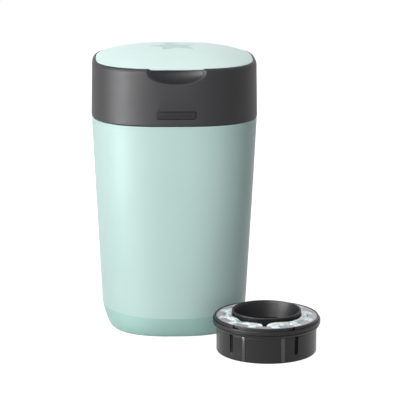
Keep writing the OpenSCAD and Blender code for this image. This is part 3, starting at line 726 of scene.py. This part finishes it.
def scoop_wall_bm():
    """The scoop's thick wall, level with the flange and kept just inside the collar's outside."""
    back = scoop(SCOOP_WALL)
    slice_at(back, (0, 0, FLANGE_TOP_Z - 0.01), (0, 0, 1), clear_outer=True)
    just_inside = [(z, a - 0.03, b - 0.03, n) for z, a, b, n in collar_outside()]
    envelope = piece("envelope", loft(just_inside), None)
    carve(envelope, back, "INTERSECT")
    bm = bmesh.new()
    bm.from_mesh(envelope.data)
    bmesh.ops.scale(bm, vec=(1 / MM, 1 / MM, 1 / MM), verts=bm.verts)
    bpy.data.objects.remove(envelope)
    return bm


def scoop_lip():
    """What the scoop's edge loses to its round lip: a flare that follows the front and the shoulder.

    It starts 0.05 mm inside the bowl and ends 4 mm in front of the collar.
    """
    rings = [(SCOOP_LIP_R * (1 - math.sin(t)), SCOOP_LIP_R * (1 - math.cos(t)) - 0.05)
             for t in arc(0, 90, 8)]
    bm = bmesh.new()
    verts = bmesh.ops.create_circle(bm, cap_ends=True, radius=1.0, segments=160)["verts"]
    around = {v: direction(v) for v in verts}
    edges = bm.edges[:]
    for number, (depth, grow) in enumerate(rings + [(-4, SCOOP_LIP_R)]):
        if number:
            verts, edges = next_ring(bm, edges)
            around = {v: next(around[e.other_vert(v)] for e in v.link_edges if e.other_vert(v) in around)
                      for v in verts}
        narrower = math.sqrt(1 - ((max(0, depth) + SCOOP_AHEAD) / SCOOP_R) ** 2)
        for v, t in around.items():
            x = (SCOOP_HALF_W * narrower + grow) * math.cos(t)
            z = SCOOP_PLACE[2] + (SCOOP_R * narrower + grow) * math.sin(t)
            v.co = (x, depth - collar_skin(x, z), z)
    bmesh.ops.contextual_create(bm, geom=edges)
    bmesh.ops.recalc_face_normals(bm, faces=bm.faces)
    return bm


def badge_shape(grow, sunk, proud):
    """The badge's rounded plate, bent to the collar's front, from sunk under its skin to proud of it."""
    half_w, half_h = BADGE_HALF[0] + grow, BADGE_HALF[1] + grow
    bm = block((-half_w, -1, BADGE_Z - half_h), (half_w, 1, BADGE_Z + half_h))
    corners = [e for e in bm.edges if abs(e.verts[0].co.y - e.verts[1].co.y) > 1]
    bmesh.ops.bevel(bm, geom=corners, offset=BADGE_CORNER_R + grow, affect="EDGES", segments=5, profile=0.5,
                    material=-1)
    front = [e for e in bm.edges if any(f.normal.y < -0.9 for f in e.link_faces)]
    bmesh.ops.bevel(bm, geom=front, offset=BADGE_EDGE_R, affect="EDGES", segments=3, profile=0.5,
                    material=-1)
    # cut across every 3 mm, so that it can bend
    for x in range(-27, 28, 3):
        slice_at(bm, (x, 0, 0), (1, 0, 0))
    for v in bm.verts:
        v.co.y = -(collar_skin(v.co.x, v.co.z) - sunk + (proud + sunk) * (1 - v.co.y) / 2)
    return bm


collar = piece("collar_shell", collar_bm(), grey_polypropylene)
carve(collar, scoop_wall_bm(), "UNION")
carve(collar, scoop(0))
carve(collar, scoop_lip())

# the hinge's two lugs stand in a hollow, with the pin's bore through them
hollow = hinge_bar(LUG_END + HOLLOW_END, HOLLOW_R)
slice_at(hollow, (0, 0, HINGE_Z - HOLLOW_LOW), (0, 0, 1), clear_inner=True)
carve(collar, hollow)
for lug_x in (LUG_MIDDLE, -LUG_MIDDLE):
    carve(collar, hinge_bar(LUG_W / 2, BARREL_R, lug_x), "UNION")
    carve(collar, block((lug_x - LUG_W / 2, HINGE_Y - BARREL_R, HINGE_Z - LUG_WEB_H),
                        (lug_x + LUG_W / 2, HINGE_Y + LUG_BACK, HINGE_Z)), "UNION")
carve(collar, hinge_bar(LUG_END + 1, PIN_BORE_R))

# the lid catch's slot, and the bosses that the chassis is screwed to
carve(collar, block((-CATCH_SLOT[0], CATCH_SLOT_Y - CATCH_SLOT[1], FLANGE_Z - 1),
                    (CATCH_SLOT[0], CATCH_SLOT_Y + CATCH_SLOT[1], FLANGE_TOP_Z + 1)))
for boss_x, boss_y in four_corners(*BOSS_PLACE):
    boss = spun([(BOSS_BORE_R, DECK_TOP_Z), (BOSS_R, DECK_TOP_Z), (BOSS_R, FLANGE_Z + 0.5),
                 (BOSS_BORE_R, FLANGE_Z + 0.5)], 32)
    bmesh.ops.translate(boss, vec=(boss_x, boss_y, 0), verts=boss.verts)
    carve(collar, boss, "UNION")

# the badge is a bare plate set in a shallow pocket, floored in painted shade
carve(collar, badge_shape(POCKET_ROOM, POCKET_DEEP, 3.0), finish=recess_painted_shade_polypropylene)
smooth(collar, sharp_degrees=28, edge=0.7, edge_degrees=38)
stands_for(collar, "top_unit", "grey_plastic", "collar")

badge = piece("badge_plate", badge_shape(0.0, POCKET_DEEP - 0.02, BADGE_PROUD), badge_abs)
smooth(badge)
stands_for(badge, "top_unit", "badge_plastic", "badge")


# ---- click spring ----

spring = like_node("click_spring", "plunger_spring", bright_steel)
smooth(spring, sharp_degrees=65)
stands_for(spring, "top_unit", "steel", "click_spring")
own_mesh(spring)


# ---- lid ----

UNDER_SHARES = (0.03, 0.15, 0.3, 0.45, 0.58, 0.7, 0.8, 0.88, 0.935)
DOME_SHARES = (0.98, 0.96, 0.935, 0.905, 0.87, 0.83, 0.79, 0.74, 0.69, 0.63, 0.57, 0.5, 0.43, 0.36, 0.28,
               0.2, 0.12, 0.06, 0.02)
INLAY_SHARES = (0.02, 0.08, 0.16, 0.24, 0.32, 0.4)


def dome_z(share):
    """Height of the dome at a share of the way from its middle to its edge."""
    return LID_EDGE_Z + DOME_H * (1 - share ** DOME_POWER)


def lid_ring(z, share, inset=0.0):
    """A ring at z, at a share of the way from the lid's middle to its edge."""
    return (z, share * LID_HALF_W - inset, share * LID_HALF_D - inset, LID_N)


STAR_FLOOR_Z = dome_z(STAR_TIP / LID_HALF_W) - STAR_SUNK - STAR_T - 0.1


def star_shape(grow, low_z, high_z):
    """Upright prism with the outline of a five-pointed star, its points rounded."""
    tip, inner = STAR_TIP + 2 * grow, STAR_INNER + grow
    half_point = math.atan(inner * math.sin(math.pi / 5) / (tip - inner * math.cos(math.pi / 5)))
    bm = bmesh.new()
    corners = []
    for i in range(10):
        t = math.radians(90 + STAR_TURN + 36 * i)
        r = tip if i % 2 == 0 else inner
        corners.append(bm.verts.new((r * math.cos(t), r * math.sin(t), low_z)))
    bm.faces.new(corners)
    bmesh.ops.bevel(bm, geom=corners[::2], offset=(STAR_ROUND + grow) / math.tan(half_point),
                    affect="VERTICES", segments=8, profile=0.5, material=-1)
    made = bmesh.ops.extrude_face_region(bm, geom=bm.faces[:])["geom"]
    top = [g for g in made if isinstance(g, bmesh.types.BMVert)]
    bmesh.ops.translate(bm, vec=(0, 0, high_z - low_z), verts=top)
    bmesh.ops.recalc_face_normals(bm, faces=bm.faces)
    return bm


def inlay_slab():
    """A disc of even thickness just under the dome's surface, to cut the star from."""
    top = [lid_ring(dome_z(share) - STAR_SUNK, share) for share in INLAY_SHARES]
    return loft([lid_ring(dome_z(share) - STAR_SUNK - STAR_T, share) for share in INLAY_SHARES] + top[::-1])


def lid_bm():
    """The lid's shell from the middle of its underside: under, rim, edge and dome."""
    under = [lid_ring(dome_z(share) - LID_WALL, share) for share in UNDER_SHARES]
    rim = [lid_ring(LID_LOW_Z + 0.4, 1, LID_WALL + 0.2), lid_ring(LID_LOW_Z, 1, LID_WALL - 0.3),
           lid_ring(LID_LOW_Z, 1, 0.9), lid_ring(LID_LOW_Z + 0.4, 1, 0.4)]
    edge = [lid_ring(LID_EDGE_Z - 0.9 + LID_EDGE_R * math.sin(t), 1, LID_EDGE_R * (1 - math.cos(t)))
            for t in arc(0, 60, 5)]
    return loft(under + rim + edge + [lid_ring(dome_z(share), share) for share in DOME_SHARES])


lid = piece("lid_dome", lid_bm(), lid_mint_painted_light_polypropylene)
for lug_x in (LUG_MIDDLE, -LUG_MIDDLE):
    carve(lid, hinge_bar(LUG_W / 2 + GAP, BARREL_R + BARREL_ROOM, lug_x))
carve(lid, hinge_bar(KNUCKLE_W / 2, BARREL_R), "UNION")
carve(lid, hinge_bar(KNUCKLE_W / 2 + 1, PIN_BORE_R))
carve(lid, rod(STAR_TIP, STAR_PAD_T, (0, 0, STAR_FLOOR_Z - STAR_PAD_T + 0.1)), "UNION")
carve(lid, star_shape(0.15, STAR_FLOOR_Z, STAR_FLOOR_Z + 10))
for post_x, post_y in four_corners(POST_PLACE, POST_PLACE):
    carve(lid, rod(POST_R, dome_z(0.7) - LINER_Z - 3.2, (post_x, post_y, LINER_Z + 2), 32), "UNION")
smooth(lid, sharp_degrees=30, edge=0.45, edge_degrees=50)
stands_for(lid, "lid", "pale_mint_plastic", "lid")

star = piece("star_inlay", inlay_slab(), star_polypropylene)
carve(star, star_shape(0, STAR_FLOOR_Z - 5, STAR_FLOOR_Z + 10), "INTERSECT")
smooth(star, edge=0.15, edge_degrees=60)
stands_for(star, "lid", "mint_plastic", "lid_star")


# ---- cassette ----

to_cassette = Matrix.Translation(CASSETTE_PLACE) @ Matrix.Rotation(math.radians(CASSETTE_TURN), 4, "Z")


def at_cassette(bm, turn=0.0):
    """Puts a shape in the cassette's place on the floor, turned about its middle first."""
    first_turn = Matrix.Rotation(math.radians(turn), 4, "Z")
    bmesh.ops.transform(bm, verts=bm.verts, matrix=to_cassette @ first_turn)
    return bm


def both_sides(turns):
    """Each turn and its mirror image."""
    return [side * turn for turn in turns for side in (1, -1)]


# the tray has a thin band under the bead, ribs drawn lighter as painted highlight, and slots floored in
# painted shade
tray = piece("cassette_tray", at_cassette(spun(rounded(
    (CORE_R + GAP, 0), (WALL_R, 0, 3), (WALL_R, BAND_Z), (WALL_R + BAND_PROUD, BAND_Z + 0.5),
    (WALL_R + BAND_PROUD, BEAD_LOW_Z - 0.1), (WALL_R, BEAD_LOW_Z - 0.05), (WALL_R, WALL_H),
    (WALL_R - CASSETTE_WALL, WALL_H), (WALL_R - CASSETTE_WALL, 2, 1.5), (CORE_R + GAP, 2)))),
    black_polypropylene)
# the ribs' lighter black is painted highlight
for turn in both_sides(RIB_TURNS):
    rib = block((WALL_R - 1, -RIB_HALF_W, 2.5), (WALL_R + RIB_PROUD, RIB_HALF_W, BEAD_LOW_Z), 0.8)
    carve(tray, at_cassette(rib, turn), "UNION", rib_painted_highlight_polypropylene)
for turn in both_sides(SLOT_TURNS):
    slot = block((WALL_R - SLOT_DEEP, -SLOT_HALF_W, SLOT_LOW_Z), (WALL_R + 8, SLOT_HALF_W, BEAD_LOW_Z))
    carve(tray, at_cassette(slot, turn), finish=recess_painted_shade_polypropylene)
smooth(tray, edge=0.4)
stands_for(tray, "cassette", "black_plastic", "cassette_body")

# the rim's bead swells over a fine groove, with notches and short grooves in the ring above it, floored in
# painted shade
bead_under = [(BEAD_R - 1 - 3.7 * (1 - math.sin(t)), BEAD_LOW_Z + 4.4 * (1 - math.cos(t)))
              for t in arc(0, 90, 9)]
groove_z, groove_w, groove_deep = BEAD_GROOVE
rim = piece("cassette_rim_ring", at_cassette(spun([(WALL_R, BEAD_LOW_Z)] + bead_under + rounded(
    (BEAD_R - groove_deep, groove_z), (BEAD_R - groove_deep, groove_z + groove_w),
    (BEAD_R, groove_z + groove_w, 0.4), (BEAD_R, BEAD_TOP_Z, 1), (RING_UP_R, BEAD_TOP_Z, 0.2),
    (RING_UP_R, RIM_TOP_Z, 0.9), (RIM_IN_R, RIM_TOP_Z, 0.5), (RIM_IN_R, RETAINER_Z),
    (LEDGE_R, RETAINER_Z), (LEDGE_R, WALL_H), (WALL_R, WALL_H)))), black_polypropylene)
for turn in both_sides(NOTCH_TURNS):
    start = -RIM_GROOVE[0] if turn > 0 else 0
    notch = block((RING_UP_R - 2, -NOTCH_HALF_W, BEAD_TOP_Z), (RING_UP_R + 10, NOTCH_HALF_W, RIM_TOP_Z + 1))
    groove = block((RING_UP_R - RIM_GROOVE[2], start, BEAD_TOP_Z),
                   (RING_UP_R + 10, start + RIM_GROOVE[0], BEAD_TOP_Z + RIM_GROOVE[1]))
    for cut in (notch, groove):
        carve(rim, at_cassette(cut, turn), finish=recess_painted_shade_polypropylene)
smooth(rim, edge=0.25, edge_degrees=55)
stands_for(rim, "cassette", "black_plastic", "cassette_rim")


def cone_r(z):
    """Outside radius of the funnel's cone."""
    up = (z - NECK_Z) / (FUNNEL_LIP_Z - NECK_Z)
    return CORE_R + CORE_T + (FUNNEL_R - CORE_T - CORE_R - CORE_T) * up


funnel = piece("funnel_cone", at_cassette(spun(rounded(
    (CORE_R - CORE_T, 0), (CORE_R, 0), (CORE_R, 2), (CORE_R + CORE_T, 2), (CORE_R + CORE_T, NECK_Z, 5),
    (cone_r(FUNNEL_LIP_Z), FUNNEL_LIP_Z, 0.8), (FUNNEL_R, FUNNEL_LIP_Z + 1, 0.6), (FUNNEL_R, FUNNEL_H, 0.8),
    (FUNNEL_R - 2, FUNNEL_H, 0.8), (FUNNEL_R - FUNNEL_LIP, FUNNEL_LIP_Z, 2), (CORE_R, NECK_Z, 5),
    (CORE_R - CORE_T, NECK_Z - 6, 3)))), funnel_polypropylene)
smooth(funnel)
stands_for(funnel, "cassette", "black_plastic", "cassette_funnel")

retainer = like_node("film_retainer", "retainer_tabs", flap_polypropylene)
smooth(retainer, edge=0.3)
stands_for(retainer, "cassette", "flap_plastic", "film_retainer")


def step_up(x):
    """Rises smoothly from 0 to 1 as x does."""
    x = min(1.0, max(0.0, x))
    return x * x * (3 - 2 * x)


def film_top(r, t):
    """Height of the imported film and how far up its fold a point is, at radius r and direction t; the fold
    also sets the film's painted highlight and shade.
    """
    around = Vector((math.cos(t), math.sin(t), 0))
    wander = noise.noise(around * 2.2 + Vector((0, 0, 0.3)))
    # long folds run round the pack, with shorter ones and fine pleats among them
    long_fold = 1 - 3.4 * abs(noise.noise(around * 3.2 + Vector((0, 0, r / 5.5))))
    side_fold = 1 - 3.0 * abs(noise.noise(around * 9 + Vector((0, 0, r / 4 + 7))))
    fine = noise.noise(around * r / 2.4 + Vector((0, 0, 4)))
    fold = 0.6 * long_fold + 0.3 * side_fold + 0.15 * fine
    # it swells from the tabs to the funnel, and dips beside the funnel
    inward = (RETAINER_R - r) / (RETAINER_R - FILM_DIP_R)
    swell = UNDER_TAB_Z + 0.9 + FILM_SWELL * step_up(inward * 1.15) * (0.85 + 0.5 * wander) + 0.7 * fold
    swell -= FILM_DIP * step_up((inward - 0.9) / 0.12)
    # the tabs press it flat
    tab = step_up((math.cos(TABS * t) + 0.55) / 0.35) * step_up((r - TAB_IN_R + 3) / 3)
    z = swell + (UNDER_TAB_Z - 0.2 - swell) * tab
    # it parts at the front, wider towards the funnel
    half_w = PARTING_HALF_W + PARTING_MORE * step_up((TAB_IN_R - r) / 11)
    aside = abs((t - 0.02) * r)
    parting = step_up((half_w - aside) / 3.5) * step_up((TAB_IN_R + 1 - r) / 2.5)
    return z - PARTING_DEEP * parting, fold


def film_bm():
    """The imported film: a ring whose top swells between the tabs and up to the funnel."""
    in_r = CORE_R + CORE_T + GAP
    bm = bmesh.new()
    # the fold's height is kept on each vertex to paint highlight and shade on the film
    fold_layer = bm.verts.layers.float.new("fold")
    verts = bmesh.ops.create_circle(bm, cap_ends=False, radius=FILM_OUT_R, segments=720)["verts"]
    bmesh.ops.translate(bm, vec=(0, 0, FILM_LOW_Z), verts=verts)
    first = edges = bm.edges[:]
    top = [RETAINER_R - 0.5 - 1.05 * i for i in range(24)]
    for radius in [FILM_OUT_R] + top + [in_r]:
        verts, edges = next_ring(bm, edges)
        for v in verts:
            t = direction(v)
            z, v[fold_layer] = film_top(radius, t)
            r = radius
            if radius == FILM_OUT_R:
                z = RETAINER_Z - 2
            elif radius == in_r:
                z = NECK_Z - 1
            else:
                r = max(radius, cone_r(z) + GAP)
            v.co = (r * math.cos(t), r * math.sin(t), z)
    verts, edges = next_ring(bm, edges)
    bmesh.ops.translate(bm, vec=(0, 0, FILM_LOW_Z + 1 - NECK_Z), verts=list(verts))
    bmesh.ops.bridge_loops(bm, edges=first + edges)
    bmesh.ops.recalc_face_normals(bm, faces=bm.faces)
    return bm


film = piece("pleated_film", at_cassette(film_bm()), film_polythene)
smooth(film, sharp_degrees=70)
stands_for(film, "cassette", "film", "film_pack")


# ---- studio: pale floor that keeps a light shadow, white surroundings, broad soft light from the left ----

def looked_at(tree):
    """1 where the camera, a reflection or clear plastic sees a surface, and 0 where it only gives light."""
    rays = add_node(tree, "ShaderNodeLightPath")
    direct = add_node(tree, "ShaderNodeMath", [(rays.outputs["Is Camera Ray"], 0),
                                               (rays.outputs["Is Glossy Ray"], 1)], operation="MAXIMUM")
    seen = add_node(tree, "ShaderNodeMath", [(direct.outputs["Value"], 0),
                                             (rays.outputs["Is Transmission Ray"], 1)], operation="MAXIMUM")
    return seen.outputs["Value"]


floor_material, floor_tree, floor_shader = new_material("pale_floor")
floor_shader.inputs["Base Color"].default_value = srgb("#8C8C8C")
floor_shader.inputs["Roughness"].default_value = 0.9
floor_shader.inputs["Specular IOR Level"].default_value = 0.0
glow_level = add_node(floor_tree, "ShaderNodeMath", [(looked_at(floor_tree), 0)], operation="MULTIPLY")
glow_level.inputs[1].default_value = FLOOR_GLOW
glow = add_node(floor_tree, "ShaderNodeEmission", [(glow_level.outputs["Value"], "Strength")])
lit_floor = add_node(floor_tree, "ShaderNodeAddShader", [(floor_shader.outputs["BSDF"], 0),
                                                         (glow.outputs["Emission"], 1)])
floor_tree.links.new(lit_floor.outputs["Shader"], floor_tree.nodes["Material Output"].inputs["Surface"])
floor_bm = bmesh.new()
bmesh.ops.create_grid(floor_bm, x_segments=1, y_segments=1, size=30000)
floor = piece("floor", floor_bm, floor_material)

world = bpy.data.worlds.new("studio")
scene.world = world
world.use_nodes = True
world_tree = world.node_tree
sky = world_tree.nodes["Background"]
sky.inputs["Color"].default_value = (1, 1, 1, 1)
sky.inputs["Strength"].default_value = SKY
white = add_node(world_tree, "ShaderNodeBackground", Strength=1.0)
white.inputs["Color"].default_value = (1, 1, 1, 1)
pick = add_node(world_tree, "ShaderNodeMixShader", [(looked_at(world_tree), 0),
                                                    (sky.outputs["Background"], 1),
                                                    (white.outputs["Background"], 2)])
world_tree.links.new(pick.outputs["Shader"], world_tree.nodes["World Output"].inputs["Surface"])


def soft_light(name, place, aim, size, power):
    """A lamp with a broad face at place, turned to aim."""
    data = bpy.data.lights.new(name, "AREA")
    data.shape = "RECTANGLE"
    data.size, data.size_y = size
    data.energy = power
    lamp = bpy.data.objects.new(name, data)
    lamp.location = place
    lamp.rotation_euler = (Vector(aim) - Vector(place)).to_track_quat("-Z", "Y").to_euler()
    lamp.visible_camera = False
    lamp.visible_diffuse = not name.startswith("sheen")
    lamp.visible_glossy = not name.startswith("fill")
    scene.collection.objects.link(lamp)


for name, place, aim, size, power in LAMPS:
    soft_light(name, place, aim, size, power)

scene.view_settings.view_transform = "Standard"
